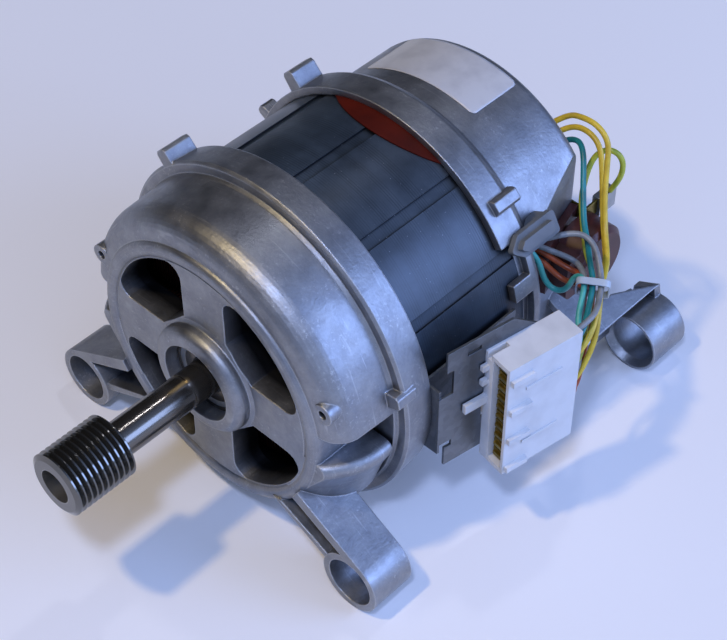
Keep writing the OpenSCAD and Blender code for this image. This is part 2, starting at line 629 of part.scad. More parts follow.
module rear_cover() color("silver") difference() {
    union() {
        difference() {
            rear_skin();
            rear_room();
        }
        disc(rear_hub_r, y_back - wall, y_rear_hub);
        both_sides() rear_foot();
        screw_bosses(y_core_end, y_core_end + screw_boss_len);
        for (turn = [131.5, 311.5]) cast_lug(turn, y_rear + 0.5, y_rear + 12, front_flange_r + lug_rise - 1, lug_w);
        for (turn = [155, 195]) cast_lug(turn, y_rear + 0.5, y_rear + 6.5, rear_flange_r + 4.5, lug_w - 1);
        cast_lug(44, y_rear + 4, y_step, rear_flange_r + 2.8, lug_w);
    }
    // Gaps in the flange beside the connector, either side of a short leg
    for (turns = flange_gaps) intersection() {
        ring(far, stator_r, y_rear - 1, y_rear + 9);
        along(y_rear - 1, y_rear + 9) polygon(concat([[0, 0]], arc([0, 0], 2 * stator_r, turns[0], turns[1])));
    }
    disc(stator_r + seat_gap, y_rear - 1, y_core_end);
    intersection() {
        disc(stator_r + film_gap + film_t + 0.1, y_rear - 1, y_core_end);
        along(y_rear - 1, y_core_end) polygon(concat([[0, 0]], arc([0, 0], 2 * stator_r, film_from - 1, film_to + 1)));
    }
    windows(rear_drum_r - 13, spoke_w / 2, rear_hub_r + 3, 5.5, y_back - wall - 1, y_back + 1);
    // Rear bearing seat, open to the inside, and the shaft's way out
    disc(rear_bearing_r, y_back - wall - 1, y_rear_bearing + rear_bearing_w);
    disc(magnet_r + 1, y_rear_bearing, y_rear_hub + 1);
    // Openings for the brush holders and the leads
    both_sides() translate([30, y_brush - holder_y - 0.3, -holder_z - 0.3])
        cube([50, 2 * holder_y + 0.6, 2 * holder_z + 0.6]);
    translate([45, lead_hole[0][0], lead_hole[1][0]])
        cube([20, lead_hole[0][1] - lead_hole[0][0], lead_hole[1][1] - lead_hole[1][0]]);
    clip_peg(peg_r + 0.05);
    both_sides() {
        post(foot_x, -foot_drop, foot_bore_r, y_foot_end - rear_foot_len - 1, y_foot_end + 1);
        translate([foot_x, y_foot_end - rear_foot_len - 0.01, -foot_drop]) rotate([-90, 0, 0])
            cylinder(r1 = foot_r - 0.9, r2 = foot_bore_r, h = 3);
    }
    screw_holes(y_core_end - 1, y_core_end + screw_boss_len + 1);
    translate([-far, y_rear - 1, floor_z + 1 - far]) cube([2 * far, y_back - y_rear - 5, far]);
}

// Long screws that clamp the two covers on the stator, with their heads inside the rear cover
module clamp_screws() color("lightslategray") for (turn = screw_angles) rotate([0, -turn, 0]) translate([screw_circle_r, 0, 0]) {
    disc(screw_r, y_flange + 1.2, y_core_end + screw_boss_len);
    translate([0, y_core_end + screw_boss_len, 0]) rotate([-90, 0, 0]) cylinder(r = head_r, h = 3, $fn = 6);
}

// Brush gear, drawn on the right side

brush_face = commutator_r + brush_gap;
brush_end = brush_face + brush_len;
spring_room = 13;
holder_end = brush_end + spring_room + 3;
module brush_box(x0, x1, grow) translate([x0, y_brush - brush_w / 2 - grow, -brush_t / 2 - grow])
    cube([x1 - x0, brush_w + 2 * grow, brush_t + 2 * grow]);
guide_t = 0.8;
guide_start = brush_face + 3;
cap_r = 14.5;
cap_len = 12.5;
cap_set = 8;
module brush_holder() color("maroon") difference() {
    union() {
        translate([guide_start + 2, y_brush - holder_y, -holder_z + 3]) cube([holder_end - guide_start - 5, 2 * holder_y, 2 * holder_z - 6]);
        translate([guide_start + 2, y_brush - holder_y + 3, -holder_z]) cube([holder_end - guide_start - 5, 2 * holder_y - 6, 2 * holder_z]);
        for (y = [-1, 1], z = [-1, 1]) translate([0, y_brush + y * (holder_y - 3), z * (holder_z - 3)])
            rotate([0, 90, 0]) translate([0, 0, guide_start + 2]) cylinder(r = 3, h = holder_end - guide_start - 5);
        translate([holder_end - 3, y_brush, 0]) rotate([0, 90, 0]) cylinder(r1 = holder_y - 1, r2 = holder_y - 3, h = 3);
        translate([flat_x, y_brush + cap_set, 0]) rotate([0, 90, 0]) cylinder(r = cap_r, h = cap_len - 2);
        translate([flat_x + cap_len - 2, y_brush + cap_set, 0]) rotate([0, 90, 0]) cylinder(r1 = cap_r, r2 = cap_r - 2, h = 2);
        translate([flat_x, flat_y, 0]) rotate([0, 0, flat_lean])
            translate([0.1, (y_brush - flat_y) / cos(flat_lean) - 13, -9]) cube([3, 26, 24]);
    }
    brush_box(0, brush_end + spring_room, guide_gap + guide_t);
}
module brush_guide() color("goldenrod") difference() {
    brush_box(guide_start, brush_end + spring_room, guide_gap + guide_t);
    brush_box(0, brush_end + spring_room + 1, guide_gap);
}
module carbon_brush() color("dimgray") difference() {
    brush_box(0, brush_end, 0);
    disc(brush_face, y_brush - brush_w, y_brush + brush_w);
}
module brush_spring() color("lightgray") {
    wire_r = 0.35;
    coil_r = brush_t / 2 - wire_r - 0.2;
    steps = 8;
    x0 = brush_end + wire_r + 0.1;
    x1 = brush_end + spring_room - wire_r - 0.1;
    n = spring_turns * steps;
    tube_along([for (i = [0:n]) let (a = 360 * i / steps)
        [x0 + (x1 - x0) * i / n, y_brush + coil_r * cos(a), coil_r * sin(a)]], wire_r, 6);
    echo(spring_gap = (x1 - x0) / spring_turns - 2 * wire_r);
}
module brush_holder_right() brush_holder();
module brush_holder_left() mirror([1, 0, 0]) brush_holder();
module brush_guide_right() brush_guide();
module brush_guide_left() mirror([1, 0, 0]) brush_guide();
module carbon_brush_right() carbon_brush();
module carbon_brush_left() mirror([1, 0, 0]) carbon_brush();
module brush_spring_right() brush_spring();
module brush_spring_left() mirror([1, 0, 0]) brush_spring();

// Tacho generator behind the rear hub

coil_r = 18;
module tacho_coil() color("darkgoldenrod") difference() {
    turned([[magnet_r + 1.5, y_rear_hub], [coil_r, y_rear_hub], [coil_r, y_rear_hub + 1.2], [coil_r - 2, y_rear_hub + 1.2],
        [coil_r - 2, y_rear_hub + 6], [coil_r, y_rear_hub + 6], [coil_r, y_rear_hub + 7.2], [magnet_r + 1.5, y_rear_hub + 7.2]]);
}
module tacho_cover() color("black") {
    y_seat = y_rear_hub + 7.2;
    skirt = 1.5;
    turned([[5.5, y_seat], [coil_r, y_seat], [coil_r, y_rear_hub], [coil_r + skirt, y_rear_hub],
        [coil_r + skirt, y_seat + 1.5], [5.5, y_seat + 1.5]]);
}

// Connector, in its own frame: x across the contacts, y along the plug's way from its mouth, z up

connector_at = [stator_r + 12.5, y_joint + 18.8];
pole_span = pole_count * pole_pitch;
connector_h = pole_span + 4;
connector_top = 22.2;
pole_z0 = connector_top - 2 - pole_pitch / 2;
cavity_x = 4.4;
cavity_w = 7.1;
mouth_depth = 14;
module connector_frame() translate([connector_at[0], connector_at[1], 0]) rotate([0, 0, -connector_yaw]) children();
module connector_housing() color("white") connector_frame() difference() {
    union() {
        translate([0, 0, connector_top - connector_h]) cube([connector_t, connector_len, connector_h]);
        translate([-2.4, 3, connector_top - 8]) cube([2.4, 12, 4]);
        translate([-2.4, 1, connector_top - 34]) cube([2.4, 9, 12]);
        // Latch arms in front of the inner wall, and low ribs on the outer face
        translate([0.4, -9.5, -3]) cube([1.8, 11.5, 4]);
        for (z = [7, 14]) translate([0.4, -2.5, z]) cube([1.8, 4, 2.5]);
        for (z = [connector_top - 14, connector_top - 42]) translate([connector_t - 0.5, 8, z]) cube([1, 16, 1.5]);
    }
    translate([cavity_x, -1, connector_top - 2 - pole_span]) cube([cavity_w, mouth_depth + 1, pole_span]);
    translate([1.2, -1, connector_top - 3]) cube([2, 9, 4]);
    contact_bodies(0);
}

// Contacts: short box-shaped sleeves, open at the mouth
contact_w = 6.4;
contact_h = 3.8;
contact_t = 0.9;
module contact_bodies(inset) for (i = [0:pole_count - 1])
    translate([cavity_x + (cavity_w - contact_w) / 2 + inset, 2.5 - inset, pole_z0 - i * pole_pitch - contact_h / 2 + inset])
        cube([contact_w - 2 * inset, 15.5 - inset, contact_h - 2 * inset]);
module connector_terminals() color("gold") connector_frame() difference() {
    contact_bodies(0);
    contact_bodies(contact_t);
}

// Bracket: a base leaf against the stator, a short bend at the front and the leaf that carries the connector
module connector_bracket() color("lightsteelblue") {
    x0 = stator_r + 0.4;
    y0 = y_joint + 0.1;
    bend_end = connector_at[0] - 4.05;
    leaf = [[-16.5, 20.5], [-16.5, 30], [12, 30], [30, 16], [30, -20], [6, -20], [6, -27], [-16.5, -27], [-16.5, -18],
        [-13.5, -18], [-13.5, -15], [-19.6, -15], [-19.6, 9], [-13.5, 9], [-13.5, 20.5]];
    translate([0, 0, -20]) linear_extrude(32) polygon([[x0, y0], [bend_end, y0], [bend_end, y0 + sheet_t],
        [x0 + sheet_t, y0 + sheet_t], [x0 + sheet_t, y_rear - 0.1], [x0, y_rear - 0.1]]);
    connector_frame() translate([-sheet_t, 0, 0]) rotate([90, 0, 90]) linear_extrude(sheet_t) difference() {
        polygon(leaf);
        translate([-8, 24]) square([6, 2]);
        translate([-0.5, connector_top - 34.5]) square([11, 13]);
        translate([2.5, connector_top - 8.5]) square([13, 5]);
    }
}

// Clip that leads the wires out of the rear cover's side

clip_turn = 30;
clip_w = 9;
clip_seat = rear_flange_r + 0.05;
peg_r = 2;
y_peg = y_step + 7;
module clip_slab(y0, y1, w, x0, x1) rotate([0, -clip_turn, 0]) translate([x0, 0, 0]) rotate([0, 90, 0]) linear_extrude(x1 - x0)
    polygon(rounded([[0, y0], [w / 2, y0 + 0.6 * w], [w / 2, y1], [-w / 2, y1], [-w / 2, y0 + 0.6 * w]], w * 0.15, 4));
module clip_peg(r) rotate([0, -clip_turn, 0]) translate([rear_drum_r - 5, y_peg, 0]) rotate([0, 90, 0]) cylinder(r = r, h = 8);
module lead_clip() color("slategray") {
    clip_slab(y_rear + 1.5, y_step + 10.5, clip_w, clip_seat, clip_seat + 2.5);
    clip_slab(y_rear + 4.5, y_step + 7, clip_w / 2, clip_seat + 2.5, clip_seat + 5);
    clip_slab(y_peg - 6, y_peg + 3.5, 7, rear_drum_r + 0.05, clip_seat);
    clip_peg(peg_r);
}

module cable_tie() color("whitesmoke") translate(tie_at)
    multmatrix([[0.839, 0.218, 0.5, 0], [0.545, -0.336, -0.77, 0], [0, 0.919, -0.4, 0]])
    translate([0, 0, -tie_w / 2]) linear_extrude(tie_w) difference() {
        polygon(rounded(square_points(tie_half + tie_t), 2.4, 4));
        polygon(rounded(square_points(tie_half), 1.6, 4));
    }
function square_points(h) = [[-h, -h], [h, -h], [h, h], [-h, h]];
tie_half = 5.5;
tie_t = 0.7;
tie_w = 2.6;
tie_at = [79, 184.5, 14];

// Earth tab on the back wall, and the terminal pushed on it

module earth_tab() color("gold") {
    translate([36, y_back, 8]) cube([15.5, 0.8, 6.3]);
    translate([50.7, y_back, 8]) cube([0.8, 16, 6.3]);
}
module earth_terminal() color("gainsboro") difference() {
    translate([49.2, y_back + 7, 7]) cube([3.8, 9.5, 8.3]);
    translate([50.6, y_back + 6, 7.9]) cube([1, 12, 6.5]);
}

// Wires: hand-set routes, each held at both ends

wire_r = 1.1;
route_light_teal = [[46, 177, 21], [53.5, 178.5, 20.5], [57.2, 180.5, 15], [58.4, 181.8, 8.8],
    [60, 182.3, 5], [63.8, 183.2, 2.8], [67.5, 184.1, 5], [69, 184.5, 8.8], [70.3, 184.6, 13],
    [73.2, 184, 16.8], [77.2, 181.9, 16.7], [83, 171.5, 10], [88.5, 167, 6], [88, 160.1, 5]];
route_teal = [[28, 209, 27], [32, 217, 32.5], [38, 221.5, 36.5], [45, 218, 37.5], [52.5, 210, 29],
    [60, 202, 22], [66, 197, 19.5], [72.5, 190, 19.5], [79.6, 183.5, 16.7], [85.5, 173, 12.5],
    [88.5, 167, 10.5], [88, 160.1, 9.5]];
route_grey_upper = [[46, 180, 24], [55, 182, 23.5], [60, 188, 25], [65.5, 193, 26], [71.5, 193.2, 24.2],
    [77, 189.8, 20.3], [82.1, 185.1, 16.7], [88, 174.5, 15], [88.5, 167, 15], [88, 160.1, 14]];
route_grey_lower = [[46, 181, 20], [54.5, 183, 19.5], [60.5, 188, 16], [66, 190.8, 14], [71, 188.6, 14.2],
    [76.6, 182.9, 14], [82, 174.3, 5], [88.6, 167, -7.5], [88, 160.1, -8.5]];
route_orange_upper = [[46, 182, 16], [54.5, 184.5, 16], [60.5, 187.8, 12], [66, 189.6, 10],
    [72, 189.2, 11.2], [78.4, 185.5, 11.4], [84.8, 175.5, -2], [88.6, 167, -16.5], [88, 160.1, -17.5]];
route_orange_lower = [[46, 182, 12.5], [54.5, 184, 12.5], [60, 186, 8], [65.5, 187, 6], [71, 186.8, 9],
    [76, 183.9, 11.5], [78.6, 180.2, 7], [82, 174.5, -8], [88, 167.2, -20.5], [88, 160.1, -22]];
route_yellow_upper = [[27, 219, 38], [33, 223.5, 43.5], [39.5, 222, 47.5], [47.5, 221.5, 48.5],
    [53.5, 221, 44.5], [55.5, 219, 38], [60.5, 212.8, 27], [66, 207.5, 17.5], [74, 199, 13.5],
    [81.4, 186.1, 14], [87.5, 175, 6.5], [88.5, 167, 1.5], [88, 160.1, 0.5]];
route_yellow_lower = [[29, 218.5, 34.5], [35.5, 223, 40], [43, 222.5, 42.5], [49, 222, 40],
    [52.5, 220, 34.5], [57.5, 215.5, 25], [63, 210.5, 15.5], [71, 202.5, 9.8], [80.8, 187.1, 11.3],
    [88.2, 176, 0.5], [88.5, 167, -12], [88, 160.1, -13]];
route_earth = [[53, 227, 16.5], [56, 228, 24], [56.6, 228.2, 31], [55, 227.6, 35], [51.8, 226, 36.8],
    [48.4, 223.8, 35], [47.2, 220.5, 30.5], [50.5, 212.5, 22], [58, 204.5, 18], [67, 195.5, 15.5],
    [73, 190.8, 15.8], [79, 184.5, 14], [85, 173.7, 4.8], [88.5, 167, -3], [88, 160.1, -4]];
module wire_teal() color("darkcyan") tube_along(route_teal, wire_r);
module wire_light_teal() color("mediumturquoise") tube_along(route_light_teal, wire_r);
module wire_grey_upper() color("gray") tube_along(route_grey_upper, wire_r);
module wire_grey_lower() color("gray") tube_along(route_grey_lower, wire_r);
module wire_orange_upper() color("orangered") tube_along(route_orange_upper, wire_r);
module wire_orange_lower() color("orangered") tube_along(route_orange_lower, wire_r);
module wire_yellow_upper() color("gold") tube_along(route_yellow_upper, wire_r);
module wire_yellow_lower() color("gold") tube_along(route_yellow_lower, wire_r);
module wire_earth() color("yellowgreen") tube_along(route_earth, wire_r);

shaft();
pulley();
armature_core();
armature_winding();
commutator_hub();
commutator_bars();
tacho_magnet();
front_bearing_inner();
front_bearing_outer();
front_bearing_balls();
front_bearing_cage();
front_bearing_shields();
rear_bearing_inner();
rear_bearing_outer();
rear_bearing_balls();
rear_bearing_cage();
rear_bearing_shields();
stator_core();
field_coil_top();
field_coil_bottom();
insulation_film();
front_cover();
rear_cover();
clamp_screws();
brush_holder_right();
brush_holder_left();
brush_guide_right();
brush_guide_left();
carbon_brush_right();
carbon_brush_left();
brush_spring_right();
brush_spring_left();
connector_housing();
connector_terminals();
connector_bracket();
lead_clip();
cable_tie();
tacho_coil();
tacho_cover();
earth_tab();
earth_terminal();
wire_teal();
wire_light_teal();
wire_grey_upper();
wire_grey_lower();
wire_orange_upper();
wire_orange_lower();
wire_yellow_upper();
wire_yellow_lower();
wire_earth();
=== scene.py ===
"""Looks of the washing machine motor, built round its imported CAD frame.

The shaft lies along Y with the pulley at the front, Z is up, and every length is in metres.
"""

import math

import bpy
from mathutils import Matrix, Vector


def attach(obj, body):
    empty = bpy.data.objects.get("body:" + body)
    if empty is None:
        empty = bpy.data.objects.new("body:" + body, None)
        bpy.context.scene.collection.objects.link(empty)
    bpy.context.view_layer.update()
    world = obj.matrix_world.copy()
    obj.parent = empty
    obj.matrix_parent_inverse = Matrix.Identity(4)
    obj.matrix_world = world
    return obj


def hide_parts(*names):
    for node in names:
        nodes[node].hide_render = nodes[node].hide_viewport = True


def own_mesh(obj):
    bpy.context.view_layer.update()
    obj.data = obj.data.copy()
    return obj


MM = 0.001

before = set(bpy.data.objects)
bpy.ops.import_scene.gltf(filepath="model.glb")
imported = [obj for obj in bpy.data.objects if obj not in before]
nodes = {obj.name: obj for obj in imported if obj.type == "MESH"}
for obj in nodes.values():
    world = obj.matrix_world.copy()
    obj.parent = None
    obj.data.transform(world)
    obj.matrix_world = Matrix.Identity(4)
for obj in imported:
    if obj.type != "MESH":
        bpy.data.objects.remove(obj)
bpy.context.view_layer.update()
scene = bpy.context.scene
scene.view_settings.view_transform = "Standard"


def linear(code):
    """An sRGB hex colour as linear red, green, blue and alpha."""
    parts = [int(code[i:i + 2], 16) / 255 for i in (1, 3, 5)]
    return [p / 12.92 if p <= 0.04045 else ((p + 0.055) / 1.055) ** 2.4 for p in parts] + [1]


def add(tree, kind, links=(), stops=(), **settings):
    """Adds a node with its settings, what its inputs get, and the stops of a colour ramp.

    An input gets a number, a vector, a hex colour or another node's output.
    """
    node = tree.nodes.new(kind)
    for name, value in settings.items():
        setattr(node, name, value)
    for key, value in links:
        if isinstance(value, bpy.types.NodeSocket):
            tree.links.new(value, node.inputs[key])
        elif isinstance(value, str):
            node.inputs[key].default_value = linear(value)
        else:
            node.inputs[key].default_value = value
    if stops:
        elements = node.color_ramp.elements
        while len(elements) < len(stops):
            elements.new(0.5)
        for element, (position, colour) in zip(elements, stops):
            element.position = position
            element.color = linear(colour)
    return node


# Camera, at the photograph's place

CAMERA_PLACE = Vector((341.5, -210.9, 483.2)) * MM
CAMERA_AIM = Vector((22.9, 124.85, 2.2)) * MM
CAMERA_LENS = 92
CAMERA_SENSOR = 36


def place_camera():
    """The camera of the main view."""
    data = bpy.data.cameras.new("photo_camera")
    data.sensor_fit = "HORIZONTAL"
    data.sensor_width = CAMERA_SENSOR
    data.lens = CAMERA_LENS
    data.clip_start = 10 * MM
    camera = bpy.data.objects.new("photo_camera", data)
    scene.collection.objects.link(camera)
    camera.location = CAMERA_PLACE
    camera.rotation_euler = (CAMERA_AIM - CAMERA_PLACE).to_track_quat("-Z", "Y").to_euler()
    scene.camera = camera


place_camera()

# Wires of the loom: routes in millimetres, as in the solids

WIRE_DIAMETER = 2.2 * MM
WIRE_SPACING = 1.25 * MM
STEPS_PER_KNOT = 12
SOFTENING_PASSES = 8
ROUTES = {
    "wire_light_teal": [(46, 177, 21), (53.5, 178.5, 20.5), (57.2, 180.5, 15), (58.4, 181.8, 8.8),
                        (60, 182.3, 5), (63.8, 183.2, 2.8), (67.5, 184.1, 5), (69, 184.5, 8.8),
                        (70.3, 184.6, 13), (73.2, 184, 16.8), (77.2, 181.9, 16.7), (83, 171.5, 10),
                        (88.5, 167, 6), (88, 160.1, 5)],
    "wire_teal": [(28, 209, 27), (32, 217, 32.5), (38, 221.5, 36.5), (45, 218, 37.5), (52.5, 210, 29),
                  (60, 202, 22), (66, 197, 19.5), (72.5, 190, 19.5), (79.6, 183.5, 16.7), (85.5, 173, 12.5),
                  (88.5, 167, 10.5), (88, 160.1, 9.5)],
    "wire_grey_upper": [(46, 180, 24), (55, 182, 23.5), (60, 188, 25), (65.5, 193, 26), (71.5, 193.2, 24.2),
                        (77, 189.8, 20.3), (82.1, 185.1, 16.7), (88, 174.5, 15), (88.5, 167, 15),
                        (88, 160.1, 14)],
    "wire_grey_lower": [(46, 181, 20), (54.5, 183, 19.5), (60.5, 188, 16), (66, 190.8, 14),
                        (71, 188.6, 14.2), (76.6, 182.9, 14), (82, 174.3, 5), (88.6, 167, -7.5),
                        (88, 160.1, -8.5)],
    "wire_orange_upper": [(46, 182, 16), (54.5, 184.5, 16), (60.5, 187.8, 12), (66, 189.6, 10),
                          (72, 189.2, 11.2), (78.4, 185.5, 11.4), (84.8, 175.5, -2), (88.6, 167, -16.5),
                          (88, 160.1, -17.5)],
    "wire_orange_lower": [(46, 182, 12.5), (54.5, 184, 12.5), (60, 186, 8), (65.5, 187, 6), (71, 186.8, 9),
                          (76, 183.9, 11.5), (78.6, 180.2, 7), (82, 174.5, -8), (88, 167.2, -20.5),
                          (88, 160.1, -22)],
    "wire_yellow_upper": [(27, 219, 38), (33, 223.5, 43.5), (39.5, 222, 47.5), (47.5, 221.5, 48.5),
                          (53.5, 221, 44.5), (55.5, 219, 38), (60.5, 212.8, 27), (66, 207.5, 17.5),
                          (74, 199, 13.5), (81.4, 186.1, 14), (87.5, 175, 6.5), (88.5, 167, 1.5),
                          (88, 160.1, 0.5)],
    "wire_yellow_lower": [(29, 218.5, 34.5), (35.5, 223, 40), (43, 222.5, 42.5), (49, 222, 40),
                          (52.5, 220, 34.5), (57.5, 215.5, 25), (63, 210.5, 15.5), (71, 202.5, 9.8),
                          (80.8, 187.1, 11.3), (88.2, 176, 0.5), (88.5, 167, -12), (88, 160.1, -13)],
    "wire_earth": [(53, 227, 16.5), (56, 228, 24), (56.6, 228.2, 31), (55, 227.6, 35), (51.8, 226, 36.8),
                   (48.4, 223.8, 35), (47.2, 220.5, 30.5), (50.5, 212.5, 22), (58, 204.5, 18),
                   (67, 195.5, 15.5), (73, 190.8, 15.8), (79, 184.5, 14), (85, 173.7, 4.8), (88.5, 167, -3),
                   (88, 160.1, -4)],
}


def smooth_route(route):
    """Evenly spaced points in metres along a soft curve that follows a route in millimetres."""
    knots = [Vector(point) * MM for point in route]
    knots = [2 * knots[0] - knots[1]] + knots + [2 * knots[-1] - knots[-2]]
    fine = []
    for before, here, after, beyond in zip(knots, knots[1:], knots[2:], knots[3:]):
        for step in range(STEPS_PER_KNOT):
            t = step / STEPS_PER_KNOT
            fine.append(0.5 * (2 * here + (after - before) * t
                               + (2 * before - 5 * here + 4 * after - beyond) * t * t
                               + (3 * here - before - 3 * after + beyond) * t * t * t))
    fine.append(knots[-2])
    whole = sum((after - here).length for here, after in zip(fine, fine[1:]))
    stride = whole / round(whole / WIRE_SPACING)
    line = [fine[0]]
    walked = 0
    for here, after in zip(fine, fine[1:]):
        piece = (after - here).length
        while walked + piece >= stride * len(line) and stride * (len(line) + 0.5) < whole:
            line.append(here.lerp(after, (stride * len(line) - walked) / piece))
        walked += piece
    line.append(fine[-1])
    for _ in range(SOFTENING_PASSES):
        middle = [0.25 * a + 0.5 * b + 0.25 * c for a, b, c in zip(line, line[1:], line[2:])]
        line = [line[0]] + middle + [line[-1]]
    return line


def tube_curve(name, line, diameter):
    """A round tube along a line of points, as one open spline."""
    data = bpy.data.curves.new(name, "CURVE")
    data.dimensions = "3D"
    # A bevel 1 m deep makes a point's radius the tube's own radius
    data.bevel_depth = 1
    data.bevel_resolution = 4
    data.use_fill_caps = True
    spline = data.splines.new("POLY")
    spline.points.add(len(line) - 1)
    for point, place in zip(spline.points, line):
        point.co = (*place, 1)
        point.radius = diameter / 2
    tube = bpy.data.objects.new(name, data)
    scene.collection.objects.link(tube)
    return tube


wires = {}
for node_name, route in ROUTES.items():
    line = smooth_route(route)
    wire = tube_curve(node_name.replace("wire_", "lead_"), line, WIRE_DIAMETER)
    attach(wire, "motor_frame")
    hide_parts(node_name)
    wires[node_name] = wire


# Materials

# Places of a colour mix's sockets: its share, its two colours and its result
SHARE = 0
FIRST = 6
SECOND = 7
MIXED = 2

# Length after which a band pattern of scale 1 repeats
BAND_PERIOD = 2 * math.pi / 20


def per(size):
    """The scale of a pattern whose marks are so many millimetres across."""
    return 1 / (size * MM)


def start(name, colour, metallic, roughness):
    """A new material with its shader, and the place that its patterns read."""
    material = bpy.data.materials.new(name)
    material.use_nodes = True
    tree = material.node_tree
    shader = tree.nodes["Principled BSDF"]
    shader.inputs["Base Color"].default_value = linear(colour)
    shader.inputs["Metallic"].default_value = metallic
    shader.inputs["Roughness"].default_value = roughness
    place = add(tree, "ShaderNodeTexCoord").outputs["Object"]
    return material, tree, shader, place


def inside(tree, place, radius, start_y, end_y, far_y):
    """A mask round the shaft's axis that rises from 0 to 1 between two places and ends at a far one."""
    flat = add(tree, "ShaderNodeVectorMath", [(0, place), (1, (1, 0, 1))], operation="MULTIPLY")
    reach = add(tree, "ShaderNodeVectorMath", [(0, flat.outputs[0])], operation="LENGTH")
    within = add(tree, "ShaderNodeMath", [(0, reach.outputs["Value"]), (1, radius)], operation="LESS_THAN")
    along = add(tree, "ShaderNodeSeparateXYZ", [("Vector", place)]).outputs["Y"]
    near = add(tree, "ShaderNodeMath", [(0, along), (1, far_y)], operation="LESS_THAN")
    rise = add(tree, "ShaderNodeMapRange", [("Value", along), ("From Min", start_y), ("From Max", end_y)])
    both = add(tree, "ShaderNodeMath", [(0, within.outputs[0]), (1, near.outputs[0])], operation="MULTIPLY")
    mask = add(tree, "ShaderNodeMath", [(0, both.outputs[0]), (1, rise.outputs["Result"])],
               operation="MULTIPLY")
    return mask.outputs[0]


def die_cast_aluminium():
    """Die-cast aluminium: a dull grey skin with flow clouds, fine pits, long scuffs and bright specks.

    Its edges are rubbed pale, its corners are darkened with painted shade, and the front cover's inside is
    painted dark as shade.
    """
    material, tree, shader, place = start("die_cast_aluminium", "#a7abb0", 0.95, 0.4)
    clouds = add(tree, "ShaderNodeTexNoise", [
        ("Vector", place), ("Scale", per(9.1)), ("Detail", 9), ("Roughness", 0.75)])
    skin = add(tree, "ShaderNodeValToRGB", [("Fac", clouds.outputs["Fac"])],
               stops=[(0.3, "#868990"), (0.55, "#999ca1"), (0.75, "#a7aaaf")])

    # Edges, where a softened normal leaves the face's own
    soft = add(tree, "ShaderNodeBevel", [("Radius", 0.8 * MM)], samples=6)
    own = add(tree, "ShaderNodeNewGeometry")
    facing = add(tree, "ShaderNodeVectorMath", [(0, soft.outputs["Normal"]), (1, own.outputs["Normal"])],
                 operation="DOT_PRODUCT")
    edge = add(tree, "ShaderNodeMapRange", [
        ("Value", facing.outputs["Value"]), ("From Min", 0.995), ("From Max", 0.9)])

    # Scuffs, long one way and about 1 mm wide
    stretch = add(tree, "ShaderNodeMapping", [
        ("Vector", place), ("Rotation", (0.4, 0.7, 0.5)), ("Scale", (per(16.7), per(1.1), per(16.7)))])
    lines = add(tree, "ShaderNodeTexNoise", [("Vector", stretch.outputs[0]), ("Scale", 1), ("Detail", 3)])
    scuff = add(tree, "ShaderNodeMapRange", [
        ("Value", lines.outputs["Fac"]), ("From Min", 0.65), ("From Max", 0.73), ("To Max", 0.45)])
    rubbed = add(tree, "ShaderNodeMath", [(0, edge.outputs["Result"]), (1, scuff.outputs["Result"])],
                 operation="MAXIMUM")

    # Bright specks, in patches
    patch = add(tree, "ShaderNodeTexNoise", [("Vector", place), ("Scale", per(8.3)), ("Detail", 5)])
    handled = add(tree, "ShaderNodeMapRange", [
        ("Value", patch.outputs["Fac"]), ("From Min", 0.46), ("From Max", 0.62)])
    grit = add(tree, "ShaderNodeTexNoise", [
        ("Vector", place), ("Scale", per(1.43)), ("Detail", 5), ("Roughness", 0.7)])
    chip = add(tree, "ShaderNodeMapRange", [
        ("Value", grit.outputs["Fac"]), ("From Min", 0.56), ("From Max", 0.7), ("To Max", 0.9)])
    specks = add(tree, "ShaderNodeMath", [(0, handled.outputs["Result"]), (1, chip.outputs["Result"])],
                 operation="MULTIPLY")
    worn = add(tree, "ShaderNodeMath", [(0, rubbed.outputs[0]), (1, specks.outputs[0])], operation="MAXIMUM")
    metal = add(tree, "ShaderNodeMix", [
        (SHARE, worn.outputs[0]), (FIRST, skin.outputs["Color"]), (SECOND, "#bfc2c6")], data_type="RGBA")

    # Painted shade in corners, from occlusion, and painted shade inside the front cover behind its windows
    corner = add(tree, "ShaderNodeAmbientOcclusion", [("Distance", 4 * MM)], samples=8)
    painted_shade = add(tree, "ShaderNodeMapRange", [
        ("Value", corner.outputs["AO"]), ("From Min", 0.8), ("From Max", 0.3), ("To Max", 0.75)])
    shaded = add(tree, "ShaderNodeMix", [
        (SHARE, painted_shade.outputs["Result"]), (FIRST, metal.outputs[MIXED]), (SECOND, "#47484c")],
        data_type="RGBA")
    # The front cover's inside is painted dark: painted shade where little light reaches behind the windows
    painted_inner_shade = inside(tree, place, 50.9 * MM, 71 * MM, 78 * MM, 112 * MM)
    shaded_inside = add(tree, "ShaderNodeMix", [
        (SHARE, painted_inner_shade), (FIRST, shaded.outputs[MIXED]), (SECOND, "#2b2c2f")], data_type="RGBA")
    tree.links.new(shaded_inside.outputs[MIXED], shader.inputs["Base Color"])

    rough = add(tree, "ShaderNodeMapRange", [
        ("Value", patch.outputs["Fac"]), ("From Min", 0.3), ("From Max", 0.7), ("To Min", 0.39),
        ("To Max", 0.53)])
    tree.links.new(rough.outputs["Result"], shader.inputs["Roughness"])
    swell = add(tree, "ShaderNodeTexNoise", [("Vector", place), ("Scale", per(14.3)), ("Detail", 2)])
    wavy = add(tree, "ShaderNodeBump", [
        ("Height", swell.outputs["Fac"]), ("Strength", 0.03), ("Distance", 1.2 * MM),
        ("Normal", soft.outputs["Normal"])])
    # Real pits are a few tenths of a millimetre wide, and these are 1.25 mm so that they show
    pits = add(tree, "ShaderNodeTexNoise", [("Vector", place), ("Scale", per(1.25)), ("Detail", 3)])
    pitted = add(tree, "ShaderNodeBump", [
        ("Height", pits.outputs["Fac"]), ("Strength", 0.34), ("Distance", 0.25 * MM),
        ("Normal", wavy.outputs["Normal"])])
    tree.links.new(pitted.outputs["Normal"], shader.inputs["Normal"])
    return material


